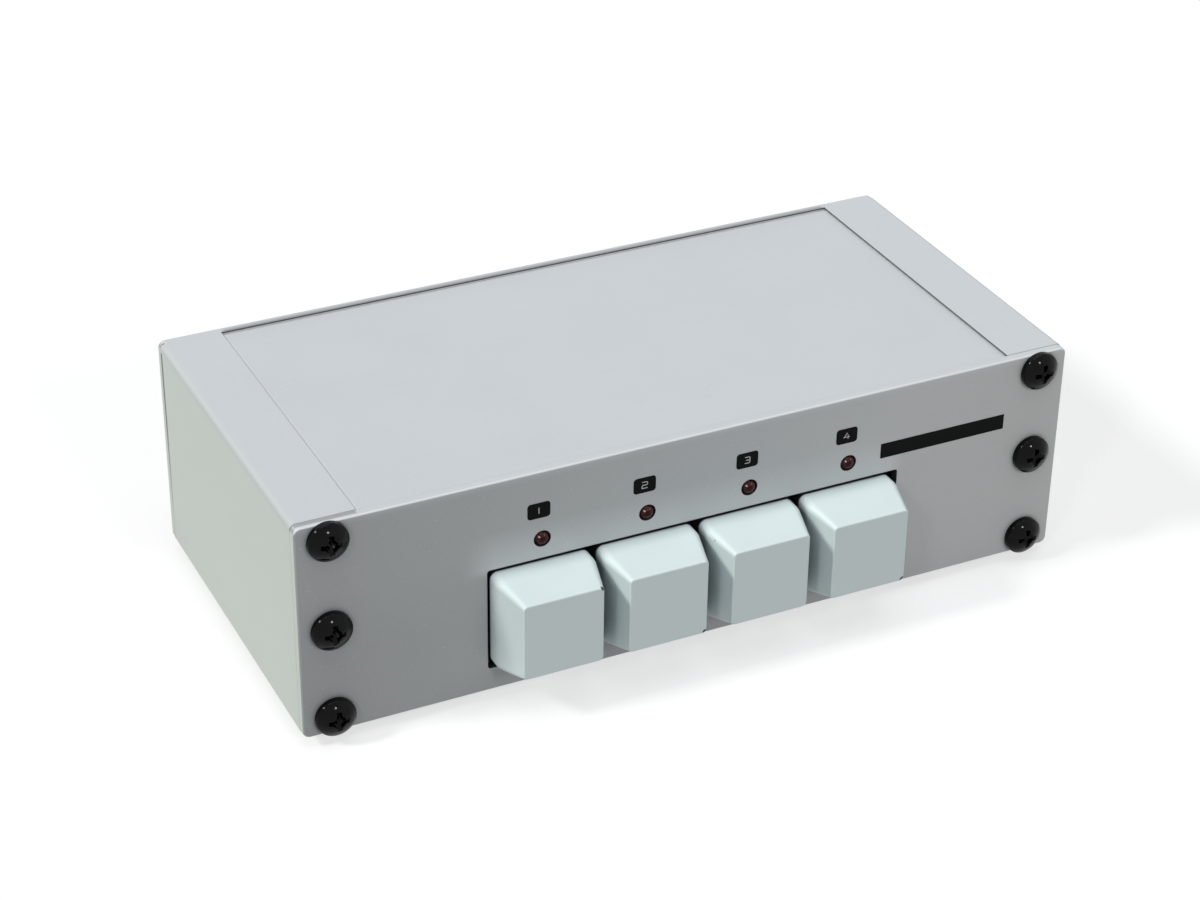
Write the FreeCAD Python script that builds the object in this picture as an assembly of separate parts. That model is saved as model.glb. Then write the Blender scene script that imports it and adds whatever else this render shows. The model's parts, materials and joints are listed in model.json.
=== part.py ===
import FreeCAD, Part
import math
import os
from FreeCAD import Vector

os.makedirs("parts", exist_ok=True)

# A four-key audio video selector switch in a flat aluminium case. All sizes are in millimetres.
# X runs to the right, Y to the back and Z up. While the pieces are made, X starts at the middle
# of the case, Y at the face of the front panel and Z at the underside of the side profiles.

# The case
case_width = 168.0
case_depth = 79.2
case_height = 47.3
plate_thickness = 1.8
plate_corner_radius = 1.5
plate_edge_radius = 0.4

# The side profiles and the covers that slide in their grooves
wall_thickness = 2.0
flange_width = 13.0
flange_thickness = 1.8
outer_edge_radius = 1.2
profile_front_chamfer = 0.3
lip_thickness = 0.35
rail_thickness = 1.2
rail_width = 4.0
groove_depth = 2.2
groove_side_gap = 0.2
groove_height_gap = 0.25
cover_thickness = 1.7
cover_rear_gap = 0.35

# The screw ports of the profiles and the screws of the two panels
port_inset = 6.5
port_edge_distance = 3.8
port_hole_radius = 2.0
port_wall = 1.3
port_mouth_width = 3.0
port_web_height = 1.8
thread_gap = 0.05
plate_hole_gap = 0.25
plate_screw_length = 9.0
plate_screw_head_radius = 4.1
plate_screw_rim_height = 1.1
plate_screw_head_height = 2.9
flush_screw_head_radius = 3.5
flush_screw_rim_height = 0.15
flush_screw_seat_gap = 0.03

# Every screw's cross recess and rounded rim, as shares of its head's radius and heights
recess_reach = 0.63
recess_floor_reach = 0.26
recess_wing_width = 0.27
recess_core_reach = 0.33
recess_depth_share = 0.7
rim_round_share = 0.38

# The rubber feet
foot_height = 2.5
foot_top_radius = 5.0
foot_bottom_radius = 4.3
foot_edge_radius = 0.4
foot_inset_x = 22.0
foot_inset_y = 12.0

# The key caps, and the slot that they come through
key_count = 4
key_gap = 1.5
key_row_x = -0.7
key_centre_z = 16.75
key_width = 21.0
key_height = 20.9
key_corner_radius = 1.6
key_inner_corner_radius = 0.8
key_collar_front = 3.0
key_collar_back = 3.4
key_bend_radius = 5.0
key_protrusion = 11.2
key_face_width = 16.9
key_face_height = 16.8
key_face_rise = 0.35
key_face_corner_radius = 0.9
key_face_edge_radius = 0.35
key_wall = 1.5
key_face_wall = 1.8
key_boss_width = 8.0
key_boss_depth = 8.4
key_socket_wall = 1.1
socket_gap = 0.03
key_travel = 5.0
slot_gap_left = 0.6
slot_gap_right = 1.75
slot_gap_above = 0.65
slot_gap_below = 1.2
slot_corner_radius = 0.6

# The plungers
plunger_width = 4.0
tooth_reach = 1.5
tooth_length = 3.0
tooth_height = 3.0
tooth_gap = 0.4
carriage_width = 6.0
carriage_height = 9.0
carriage_length = 13.5
tail_width = 3.0
tail_stick_out = 2.7
sliding_gap = 0.3

# The key bank's frame and the switch bodies
bank_gap = 1.6
frame_sheet = 1.2
frame_above_keys = 9.75
frame_side_gap = 8.75
frame_depth = 14.0
frame_foot_width = 6.8
frame_foot_front = 4.0
tab_width = 3.9
switch_width = 11.0
switch_wall = 1.5
switch_roof = 1.4
pin_radius = 0.35
pin_hole_gap = 0.1
pin_rows = 2
pins_in_row = 6
pin_pitch = 3.6
pin_stick_out = 0.9

# The latch bar
latch_sheet = 1.0
latch_height = 11.5
latch_travel = 1.2
latch_tongue_height = 4.5
latch_spring_tongue_height = 3.0
latch_head_height = 7.5
latch_head_length = 1.0
latch_end_gap = 0.1
latch_slot_gap = 0.2
latch_stub_length = 4.5
latch_spring_length = 6.3

# The springs
return_wire_radius = 0.25
return_coil_radius = 3.4
return_turns = 7
latch_wire_radius = 0.2
latch_coil_radius = 2.2
latch_turns = 5
spring_end_gap = 0.05

# The lamps and their board
lamp_rise = 4.35
lamp_row_x = -0.2
lamp_radius = 1.6
lamp_hole_gap = 0.2
lamp_flange_step = 0.4
lamp_flange_thickness = 1.0
lamp_proud = 0.7
lamp_length = 5.7
lead_width = 0.5
lead_spacing = 2.54
lead_hole_gap = 0.1
lead_stick_out = 0.6
lamp_board_thickness = 1.6
lamp_board_below = 3.6
lamp_board_above = 4.2
lamp_board_overhang = 0.8
resistor_length = 2.0
resistor_height = 1.2
resistor_thickness = 0.6
resistor_offset = 4.5
ribbon_width = 3.8
ribbon_thickness = 0.9
ribbon_bend_radius = 4.0
ribbon_reach = 12.0
ribbon_gap = 0.65

# The main board, its standoffs and the small screws
board_thickness = 1.6
board_side_gap = 5.0
board_front_gap = 0.5
board_rear_gap = 1.5
standoff_height = 3.0
standoff_flats = 5.5
standoff_stud_radius = 2.1
standoff_side_inset = 6.0
standoff_clearance = 4.0
stud_gap = 0.03
board_screw_radius = 1.5
board_screw_head_radius = 2.8
board_screw_rim_height = 0.6
board_screw_head_height = 1.8
board_screw_length = 3.6
board_hole_gap = 0.2
bracket_screw_radius = 1.25
bracket_screw_head_radius = 2.2
bracket_screw_rim_height = 0.5
bracket_screw_head_height = 1.5
bracket_hole_gap = 0.15
bracket_screw_overrun = 1.0
capacitor_radius = 5.0
capacitor_height = 12.5
capacitor_bead_depth = 0.4
capacitor_bead_height = 1.2
capacitor_edge_radius = 0.4

# The jack blocks: five columns of three round sockets
jack_columns = 5
jack_first_inset = 14.0
jack_width = 12.0
jack_depth = 14.0
jack_low_margin = 3.25
jack_top_margin = 7.85
jack_head_height = 6.05
snout_wall = 0.65
snout_hole_gap = 0.2
snout_proud = 0.3
snout_root = 1.0
barrel_radius = 4.15
barrel_wall = 0.7
barrel_length = 9.0
barrel_tip_chamfer = 0.3
barrel_stem_step = 0.3
barrel_stem_length = 3.0
part_gap = 0.02
insulator_recess = 0.6
contact_bore_radius = 1.65
contact_wall = 0.45
contact_bore_depth = 8.0
contact_end_wall = 1.0

# The low voltage inlet
inlet_inset = 16.0
inlet_width = 9.0
inlet_height = 11.0
inlet_rise = 6.0
inlet_boss_radius = 4.2
inlet_hole_gap = 0.2
inlet_bore_radius = 2.8
inlet_bore_depth = 9.5
inlet_pin_radius = 1.05
inlet_pin_recess = 0.5
inlet_pin_chamfer = 0.35

# Two places closer than this are the same place
same_place = 1e-5

# Places that follow from the sizes above
half_width = case_width / 2
middle_z = case_height / 2
rear_inside = case_depth - plate_thickness
flange_edge = half_width - flange_width
cover_low = lip_thickness + groove_height_gap
bottom_inside = cover_low + cover_thickness
top_inside = case_height - bottom_inside
port_x = half_width - port_inset
port_heights = [port_edge_distance, middle_z, case_height - port_edge_distance]
plate_hole_radius = port_hole_radius + plate_hole_gap
plate_screw_radius = port_hole_radius - thread_gap
board_bottom = bottom_inside + standoff_height
board_top = board_bottom + board_thickness
board_half_width = flange_edge - board_side_gap
board_rear = rear_inside - board_rear_gap
board_hole_radius = board_screw_radius + board_hole_gap
bracket_hole_radius = bracket_screw_radius + bracket_hole_gap
key_pitch = key_width + key_gap
key_places = [key_row_x + (number - (key_count - 1) / 2) * key_pitch for number in range(key_count)]
slot_left = key_places[0] - key_width / 2 - slot_gap_left
slot_right = key_places[-1] + key_width / 2 + slot_gap_right
slot_low = key_centre_z - key_height / 2 - slot_gap_below
slot_high = key_centre_z + key_height / 2 + slot_gap_above
lamp_z = slot_high + lamp_rise
lamp_places = [lamp_row_x + (number - (key_count - 1) / 2) * key_pitch for number in range(key_count)]
bank_front = key_collar_back + key_travel + bank_gap
tooth_front = bank_front + frame_sheet + tooth_gap
latch_front = tooth_front + tooth_length + tooth_gap
switch_front = tooth_front + tooth_length + key_travel + tooth_gap
switch_length = carriage_length + key_travel + 2 * switch_wall + 2 * sliding_gap
tail_length = key_travel + sliding_gap + switch_wall + tail_stick_out
frame_top = key_centre_z + frame_above_keys
lamp_hole_radius = lamp_radius + lamp_hole_gap
lamp_board_front = bank_front - lamp_board_thickness
bank_half_width = (key_count - 1) / 2 * key_pitch + switch_width / 2 + frame_side_gap
switch_rear = switch_front + switch_length
jack_first_x = board_half_width - jack_first_inset
inlet_x = -(board_half_width - inlet_inset)
jack_column_pitch = (jack_first_x - inlet_x) / jack_columns
jack_places = [jack_first_x - column * jack_column_pitch for column in range(jack_columns)]
jack_low_z = board_top + jack_low_margin
jack_high_z = top_inside - jack_top_margin
jack_rows = [jack_high_z, (jack_low_z + jack_high_z) / 2, jack_low_z]
jack_front = rear_inside - jack_depth
snout_face = case_depth + snout_proud
barrel_tip = snout_face + barrel_length
barrel_stem_end = snout_face - barrel_stem_length
barrel_bore_radius = barrel_radius - barrel_wall
barrel_stem_radius = barrel_radius - barrel_stem_step
snout_radius = barrel_radius + snout_wall
contact_radius = contact_bore_radius + contact_wall
insulator_face = barrel_tip - insulator_recess
contact_back = insulator_face - contact_bore_depth - contact_end_wall
inlet_z = board_top + inlet_rise
inlet_bore_end = case_depth - inlet_bore_depth
origin_y = (barrel_tip - key_protrusion) / 2


def save(name, solids):
    """Write one named piece, or a group of like pieces, standing on the ground."""
    shape = solids if isinstance(solids, Part.Shape) else Part.makeCompound(solids)
    placed = shape.copy()
    placed.translate(Vector(0, -origin_y, foot_height))
    placed.exportStep("parts/" + name + ".step")


def box(x0, x1, y0, y1, z0, z1):
    return Part.makeBox(x1 - x0, y1 - y0, z1 - z0, Vector(x0, y0, z0))


def rod_y(x, z, radius, y0, y1):
    return Part.makeCylinder(radius, y1 - y0, Vector(x, y0, z), Vector(0, 1, 0))


def rod_z(x, y, radius, z0, z1):
    return Part.makeCylinder(radius, z1 - z0, Vector(x, y, z0), Vector(0, 0, 1))


def edges_along(shape, axis, test):
    """The straight edges along one axis whose middle passes a test."""
    found = []
    for edge in shape.Edges:
        start = edge.Vertexes[0].Point
        run = edge.Vertexes[-1].Point - start
        if run.Length > 0 and abs(abs(run.dot(axis)) - run.Length) < same_place:
            if test(start + run * 0.5):
                found.append(edge)
    return found


def edges_in_plane(shape, y):
    """The edges that lie in the plane across Y at y."""
    return [
        edge for edge in shape.Edges
        if abs(edge.BoundBox.YMin - y) < same_place and abs(edge.BoundBox.YMax - y) < same_place
    ]


def rounded_outline(x, z, width, height, radius, y):
    """A rectangle with round corners, in the plane across Y at y."""
    arcs = []
    for quarter, (side_x, side_z) in enumerate(((1, 1), (-1, 1), (-1, -1), (1, -1))):
        centre_x = x + side_x * (width / 2 - radius)
        centre_z = z + side_z * (height / 2 - radius)
        angles = [math.radians(90 * quarter + step) for step in (0, 45, 90)]
        arcs.append([
            Vector(centre_x + radius * math.cos(angle), y, centre_z + radius * math.sin(angle))
            for angle in angles
        ])
    edges = []
    for quarter, (first, middle, last) in enumerate(arcs):
        edges.append(Part.Arc(first, middle, last).toShape())
        edges.append(Part.makeLine(last, arcs[(quarter + 1) % 4][0]))
    return Part.Wire(edges)


def rounded_bar(x, z, width, height, radius, y0, y1):
    """A bar along Y whose section is a rectangle with round corners."""
    return Part.Face(rounded_outline(x, z, width, height, radius, y0)).extrude(Vector(0, y1 - y0, 0))


def cross_recess(head_radius, head_height, top):
    """The tapered cross with a round middle that the driver goes into, open at the height top."""
    mouth_radius = recess_reach * head_radius
    core_radius = recess_core_reach * head_radius
    depth = recess_depth_share * head_height
    half_wing = recess_wing_width * head_radius / 2
    floor = top - depth
    arm = box(-mouth_radius, mouth_radius, -half_wing, half_wing, floor, top)
    other_arm = box(-half_wing, half_wing, -mouth_radius, mouth_radius, floor, top)
    core = Part.makeCylinder(core_radius, depth, Vector(0, 0, floor))
    taper = Part.makeCone(recess_floor_reach * mouth_radius, mouth_radius, depth, Vector(0, 0, floor))
    return arm.fuse(other_arm).fuse(core).common(taper)


def pan_head(radius, rim, height, shank_radius, shank_length):
    """A pan head screw with a cross recess, its head on the plane Z = 0 and its shank below."""
    rim_top = Vector(radius, 0, rim)
    crown = Vector(0, 0, height)
    sphere = (radius ** 2 + (height - rim) ** 2) / (2 * (height - rim))
    half_angle = math.asin(radius / sphere) / 2
    shoulder = Vector(sphere * math.sin(half_angle), 0, height - sphere * (1 - math.cos(half_angle)))
    outline = Part.Wire([
        Part.makeLine(Vector(0, 0, 0), Vector(radius, 0, 0)),
        Part.makeLine(Vector(radius, 0, 0), rim_top),
        Part.Arc(rim_top, shoulder, crown).toShape(),
        Part.makeLine(crown, Vector(0, 0, 0)),
    ])
    head = Part.Face(outline).revolve(Vector(0, 0, 0), Vector(0, 0, 1), 360)
    rim_edges = [
        edge for edge in head.Edges
        if abs(edge.BoundBox.ZMin - rim) < same_place and abs(edge.BoundBox.ZMax - rim) < same_place
    ]
    head = head.makeFillet(rim_round_share * rim, rim_edges)
    shank = Part.makeCylinder(shank_radius, shank_length, Vector(0, 0, -shank_length))
    return head.cut(cross_recess(radius, height, height)).fuse(shank).removeSplitter()


def aimed(shape, direction, place):
    """A shape made along +Z, turned to point along direction and set at place."""
    turned = shape.copy()
    turn = FreeCAD.Rotation(Vector(0, 0, 1), direction)
    turned.Placement = FreeCAD.Placement(place, turn)
    return turned


def arc_from(start, tangent, end):
    """The circular arc that leaves start along tangent and ends at end."""
    chord = end - start
    along = Vector(chord)
    along.normalize()
    side = tangent - along * tangent.dot(along)
    side.normalize()
    turn = math.acos(min(1.0, tangent.dot(along)))
    middle = start + chord * 0.5 + side * (chord.Length / 2 * math.tan(turn / 2))
    return Part.Arc(start, middle, end).toShape()


def coil(axis_start, axis, across, length, coil_radius, wire_radius, turns):
    """An open coil spring: one round wire swept along two arcs for each quarter turn."""
    other = axis.cross(across)
    rise = length - 2 * wire_radius
    slope = rise / (2 * math.pi * turns)

    def point(angle):
        out = across * (coil_radius * math.cos(angle)) + other * (coil_radius * math.sin(angle))
        return axis_start + out + axis * (wire_radius + slope * angle)

    def heading(angle):
        way = other * (coil_radius * math.cos(angle)) - across * (coil_radius * math.sin(angle))
        way = way + axis * slope
        return way.normalize()

    edges = []
    for step in range(4 * turns):
        start_angle = step * math.pi / 2
        end_angle = start_angle + math.pi / 2
        start = point(start_angle)
        end = point(end_angle)
        leaving = heading(start_angle)
        arriving = heading(end_angle)
        chord = end - start
        both = leaving + arriving
        spread = 2 * (1 - leaving.dot(arriving))
        reach = (math.sqrt(chord.dot(both) ** 2 + spread * chord.dot(chord)) - chord.dot(both)) / spread
        join = (start + end + (leaving - arriving) * reach) * 0.5
        join_chord = join - start
        normal = leaving.cross(join_chord)
        normal.normalize()
        turn = 2 * leaving.getAngle(join_chord)
        passing = FreeCAD.Rotation(normal, math.degrees(turn)).multVec(leaving)
        edges.append(arc_from(start, leaving, join))
        edges.append(arc_from(join, passing, end))
    section = Part.Wire([Part.makeCircle(wire_radius, point(0), heading(0))])
    spring = Part.Wire(edges).makePipeShell([section], True, False)
    print("coil gap between turns", round(rise / turns - 2 * wire_radius, 2))
    return spring


def side_profile():
    """The right side profile: two flanges, cover grooves, three screw ports and a chamfered front end."""
    front = plate_thickness
    back = rear_inside
    outer = box(flange_edge, half_width, front, back, 0, case_height)
    outer_edges = edges_along(outer, Vector(0, 1, 0), lambda middle: middle.x > half_width - same_place)
    outer = outer.makeFillet(outer_edge_radius, outer_edges)
    outer = outer.makeChamfer(profile_front_chamfer, edges_in_plane(outer, front))
    hollow = box(
        flange_edge, half_width - wall_thickness, front, back,
        flange_thickness, case_height - flange_thickness,
    )
    profile = outer.cut(hollow)
    groove_height = cover_thickness + groove_height_gap
    rail_depth = lip_thickness + groove_height + rail_thickness
    for low, high in ((0, rail_depth), (case_height - rail_depth, case_height)):
        profile = profile.fuse(box(flange_edge, flange_edge + rail_width, front, back, low, high))
    web_low = middle_z - port_web_height / 2
    profile = profile.fuse(
        box(port_x, half_width - wall_thickness, front, back, web_low, web_low + port_web_height)
    )
    for z in port_heights:
        profile = profile.fuse(rod_y(port_x, z, port_hole_radius + port_wall, front, back))
    for z in port_heights:
        mouth = box(
            port_x - port_hole_radius - port_wall, port_x, front, back,
            z - port_mouth_width / 2, z + port_mouth_width / 2,
        )
        profile = profile.cut(rod_y(port_x, z, port_hole_radius, front, back)).cut(mouth)
    groove_x = flange_edge + groove_depth
    low_groove = box(flange_edge, groove_x, front, back, lip_thickness, lip_thickness + groove_height)
    high_groove = low_groove.mirror(Vector(0, 0, middle_z), Vector(0, 0, 1))
    return profile.cut(low_groove).cut(high_groove).removeSplitter()


def cover():
    """The bottom cover: a flat plate with its long edges in the grooves of the profiles."""
    half = flange_edge + groove_depth - groove_side_gap
    return box(-half, half, plate_thickness, rear_inside - cover_rear_gap, cover_low, bottom_inside)


def screw_places():
    return [(x, z) for x in (-port_x, port_x) for z in port_heights]


def blank_plate(y0, outer_y):
    """A front or rear panel before its openings, its outer edge slightly eased."""
    plate = rounded_bar(
        0, middle_z, case_width, case_height, plate_corner_radius, y0, y0 + plate_thickness
    )
    plate = plate.makeFillet(plate_edge_radius, edges_in_plane(plate, outer_y))
    for x, z in screw_places():
        plate = plate.cut(rod_y(x, z, plate_hole_radius, y0, y0 + plate_thickness))
    return plate


def front_panel():
    plate = blank_plate(0, 0)
    slot = rounded_bar(
        (slot_left + slot_right) / 2, (slot_low + slot_high) / 2,
        slot_right - slot_left, slot_high - slot_low, slot_corner_radius, 0, plate_thickness,
    )
    plate = plate.cut(slot)
    for x in lamp_places:
        plate = plate.cut(rod_y(x, lamp_z, lamp_hole_radius, 0, plate_thickness))
    return plate


def rear_panel():
    """The rear panel, with round holes for the sockets and a countersink for each flush screw."""
    plate = blank_plate(rear_inside, case_depth)
    for x in jack_places:
        for z in jack_rows:
            plate = plate.cut(rod_y(x, z, snout_radius + snout_hole_gap, rear_inside, case_depth))
    inlet_hole_radius = inlet_boss_radius + inlet_hole_gap
    plate = plate.cut(rod_y(inlet_x, inlet_z, inlet_hole_radius, rear_inside, case_depth))
    seat_radius = flush_screw_head_radius + flush_screw_seat_gap
    seat = Part.makeCone(plate_hole_radius, seat_radius, seat_radius - plate_hole_radius)
    seat_depth = flush_screw_rim_height + seat_radius - plate_hole_radius
    for x, z in screw_places():
        plate = plate.cut(aimed(seat, Vector(0, 1, 0), Vector(x, case_depth - seat_depth, z)))
        plate = plate.cut(rod_y(x, z, seat_radius, case_depth - flush_screw_rim_height, case_depth))
    return plate


def front_screws():
    """Six black pan head screws, three into the ports of each side profile."""
    screw = pan_head(
        plate_screw_head_radius, plate_screw_rim_height, plate_screw_head_height,
        plate_screw_radius, plate_screw_length,
    )
    return [aimed(screw, Vector(0, -1, 0), Vector(x, 0, z)) for x, z in screw_places()]


def rear_screws():
    """Six black countersunk screws, their flat heads flush with the rear panel."""
    cone_depth = flush_screw_head_radius - plate_screw_radius
    head_depth = flush_screw_rim_height + cone_depth
    head = Part.makeCone(
        plate_screw_radius, flush_screw_head_radius, cone_depth, Vector(0, 0, -head_depth)
    )
    head = head.fuse(Part.makeCylinder(
        flush_screw_head_radius, flush_screw_rim_height, Vector(0, 0, -flush_screw_rim_height)
    ))
    recess = cross_recess(flush_screw_head_radius, head_depth, 0)
    shank = Part.makeCylinder(plate_screw_radius, plate_screw_length, Vector(0, 0, -plate_screw_length))
    screw = head.fuse(shank).cut(recess).removeSplitter()
    return [aimed(screw, Vector(0, 1, 0), Vector(x, case_depth, z)) for x, z in screw_places()]


def foot(x, y):
    """A turned rubber foot stuck on the underside of the bottom cover."""
    body = Part.makeCone(
        foot_bottom_radius, foot_top_radius, foot_height + cover_low, Vector(x, y, -foot_height)
    )
    rim = [edge for edge in body.Edges if abs(edge.BoundBox.ZMax + foot_height) < same_place]
    return body.makeFillet(foot_edge_radius, rim)


def keycap(x):
    """A hollow moulded cap: a straight collar in the slot, then four tapered sides and a flat face."""
    face_z = key_centre_z + key_face_rise
    collar = rounded_bar(
        x, key_centre_z, key_width, key_height, key_corner_radius, -key_collar_front, key_collar_back
    )
    taper = Part.makeLoft([
        rounded_outline(x, key_centre_z, key_width, key_height, key_corner_radius, -key_collar_front),
        rounded_outline(
            x, face_z, key_face_width, key_face_height, key_face_corner_radius, -key_protrusion
        ),
    ], True, True)
    cap = collar.fuse(taper).removeSplitter()
    cap = cap.makeFillet(key_face_edge_radius, edges_in_plane(cap, -key_protrusion))
    cap = cap.makeFillet(key_bend_radius, edges_in_plane(cap, -key_collar_front))
    inner_front = -(key_protrusion - key_face_wall)
    inner_collar = rounded_bar(
        x, key_centre_z, key_width - 2 * key_wall, key_height - 2 * key_wall, key_inner_corner_radius,
        -key_collar_front, key_collar_back,
    )
    inner_taper = Part.makeLoft([
        rounded_outline(
            x, key_centre_z, key_width - 2 * key_wall, key_height - 2 * key_wall, key_inner_corner_radius,
            -key_collar_front,
        ),
        rounded_outline(
            x, face_z, key_face_width - 2 * key_wall, key_face_height - 2 * key_wall,
            key_inner_corner_radius, inner_front,
        ),
    ], True, True)
    half_boss = key_boss_width / 2
    boss = box(
        x - half_boss, x + half_boss, inner_front, inner_front + key_boss_depth,
        key_centre_z - half_boss, key_centre_z + half_boss,
    )
    half_socket = plunger_width / 2 + socket_gap
    socket = box(
        x - half_socket, x + half_socket, inner_front + key_socket_wall, inner_front + key_boss_depth,
        key_centre_z - half_socket, key_centre_z + half_socket,
    )
    hollow = inner_collar.fuse(inner_taper)
    return cap.cut(hollow.cut(boss)).cut(socket)


def plunger(x):
    """A moulded plunger: its square shaft, the latch tooth, the contact carriage and a guide tail."""
    front = -(key_protrusion - key_face_wall) + key_socket_wall
    carriage_front = switch_front + switch_wall + sliding_gap
    carriage_rear = carriage_front + carriage_length
    half = plunger_width / 2
    shaft = box(x - half, x + half, front, carriage_front, key_centre_z - half, key_centre_z + half)
    carriage = box(
        x - carriage_width / 2, x + carriage_width / 2, carriage_front, carriage_rear,
        key_centre_z - carriage_height / 2, key_centre_z + carriage_height / 2,
    )
    tail = box(
        x - tail_width / 2, x + tail_width / 2, carriage_rear, carriage_rear + tail_length,
        key_centre_z - tail_width / 2, key_centre_z + tail_width / 2,
    )
    tooth_low = key_centre_z - tooth_height / 2
    corners = [
        Vector(x - half, tooth_front, tooth_low),
        Vector(x - half - tooth_reach, tooth_front, tooth_low),
        Vector(x - half, tooth_front + tooth_length, tooth_low),
    ]
    tooth = Part.Face(Part.makePolygon(corners + corners[:1])).extrude(Vector(0, 0, tooth_height))
    return shaft.fuse(carriage).fuse(tail).fuse(tooth).removeSplitter()


def return_spring(x):
    """The spring round the plunger, from the boss of the cap back to the frame."""
    start = -(key_protrusion - key_face_wall) + key_boss_depth + spring_end_gap
    length = bank_front - start - spring_end_gap
    return coil(
        Vector(x, start, key_centre_z), Vector(0, 1, 0), Vector(1, 0, 0), length,
        return_coil_radius, return_wire_radius, return_turns,
    )


def switch_frame():
    """The steel frame of the key bank: a front wall, two ears with feet, and two tabs above."""
    inner = bank_half_width
    outer = inner + frame_sheet
    ear_rear = bank_front + frame_depth
    frame = box(
        key_row_x - outer, key_row_x + outer, bank_front, bank_front + frame_sheet, board_top, frame_top
    )
    for side in (-1, 1):
        ear = sorted((key_row_x + side * inner, key_row_x + side * outer))
        frame = frame.fuse(box(ear[0], ear[1], bank_front, ear_rear, board_top, frame_top))
        foot_edges = sorted((key_row_x + side * inner, key_row_x + side * (outer + frame_foot_width)))
        frame = frame.fuse(box(
            foot_edges[0], foot_edges[1], bank_front + frame_foot_front, ear_rear,
            board_top, board_top + frame_sheet,
        ))
        tab = sorted((key_row_x + side * (outer - tab_width), key_row_x + side * outer))
        frame = frame.fuse(box(
            tab[0], tab[1], bank_front, bank_front + frame_sheet, frame_top, lamp_z + lamp_board_above
        ))
        frame = frame.cut(rod_y(
            tab_screw_x(side), lamp_z, bracket_screw_radius + thread_gap,
            bank_front, bank_front + frame_sheet,
        ))
        frame = frame.cut(rod_z(
            frame_screw_x(side), frame_screw_y(), bracket_screw_radius + thread_gap, board_top,
            board_top + frame_sheet,
        ))
        frame = frame.cut(box(
            ear[0], ear[1], latch_front - latch_slot_gap, latch_front + latch_sheet + latch_slot_gap,
            key_centre_z - latch_tongue_height / 2 - latch_slot_gap,
            key_centre_z + latch_tongue_height / 2 + latch_slot_gap,
        ))
    half = plunger_width / 2 + sliding_gap
    for x in key_places:
        frame = frame.cut(box(
            x - half, x + half, bank_front, bank_front + frame_sheet,
            key_centre_z - half, key_centre_z + half,
        ))
    return frame.removeSplitter()


def tab_screw_x(side):
    return key_row_x + side * (bank_half_width + frame_sheet - tab_width / 2)


def frame_screw_x(side):
    return key_row_x + side * (bank_half_width + frame_sheet + frame_foot_width / 2)


def frame_screw_y():
    return bank_front + (frame_foot_front + frame_depth) / 2


def latch_bar():
    """The sliding bar behind the frame's front wall, with one window for each plunger."""
    back = latch_front + latch_sheet
    left = key_row_x - bank_half_width + latch_travel + sliding_gap
    right = key_row_x + bank_half_width - latch_end_gap
    half_height = latch_height / 2
    bar = box(left, right, latch_front, back, key_centre_z - half_height, key_centre_z + half_height)
    half_tongue = latch_tongue_height / 2
    bar = bar.fuse(box(
        left - latch_stub_length, left, latch_front, back,
        key_centre_z - half_tongue, key_centre_z + half_tongue,
    ))
    head_start = key_row_x + bank_half_width + frame_sheet + latch_spring_length
    half_tongue = latch_spring_tongue_height / 2
    bar = bar.fuse(box(
        right, head_start, latch_front, back, key_centre_z - half_tongue, key_centre_z + half_tongue
    ))
    bar = bar.fuse(box(
        head_start, head_start + latch_head_length, latch_front, back,
        key_centre_z - latch_head_height / 2, key_centre_z + latch_head_height / 2,
    ))
    half = plunger_width / 2 + sliding_gap
    for x in key_places:
        bar = bar.cut(box(
            x - half - tooth_reach, x + half + latch_travel, latch_front, back,
            key_centre_z - half, key_centre_z + half,
        ))
    return bar.removeSplitter()


def latch_spring():
    """The spring on the bar's tongue, outside the right ear, which pulls the bar to the right."""
    start = key_row_x + bank_half_width + frame_sheet + spring_end_gap
    return coil(
        Vector(start, latch_front + latch_sheet / 2, key_centre_z), Vector(1, 0, 0), Vector(0, 1, 0),
        latch_spring_length - 2 * spring_end_gap, latch_coil_radius, latch_wire_radius, latch_turns,
    )


def switch_body(x):
    """A moulded switch body that guides the carriage and stands on the main board."""
    half_height = carriage_height / 2 + sliding_gap
    half_width_inside = carriage_width / 2 + sliding_gap
    body = box(
        x - switch_width / 2, x + switch_width / 2, switch_front, switch_rear,
        board_top, key_centre_z + half_height + switch_roof,
    )
    body = body.cut(box(
        x - half_width_inside, x + half_width_inside, switch_front + switch_wall, switch_rear - switch_wall,
        key_centre_z - half_height, key_centre_z + half_height,
    ))
    front_hole = plunger_width / 2 + sliding_gap
    body = body.cut(box(
        x - front_hole, x + front_hole, switch_front, switch_front + switch_wall,
        key_centre_z - front_hole, key_centre_z + front_hole,
    ))
    rear_hole = tail_width / 2 + sliding_gap
    return body.cut(box(
        x - rear_hole, x + rear_hole, switch_rear - switch_wall, switch_rear,
        key_centre_z - rear_hole, key_centre_z + rear_hole,
    ))


def pin_places():
    """Two rows of terminal pins under each switch body."""
    first = (switch_front + switch_rear) / 2 - (pins_in_row - 1) / 2 * pin_pitch
    places = []
    for x in key_places:
        for row in range(pin_rows):
            row_x = x + (row - (pin_rows - 1) / 2) * carriage_width
            for number in range(pins_in_row):
                places.append((row_x, first + number * pin_pitch))
    return places


def switch_pins():
    return [rod_z(x, y, pin_radius, board_bottom - pin_stick_out, board_top) for x, y in pin_places()]


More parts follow.
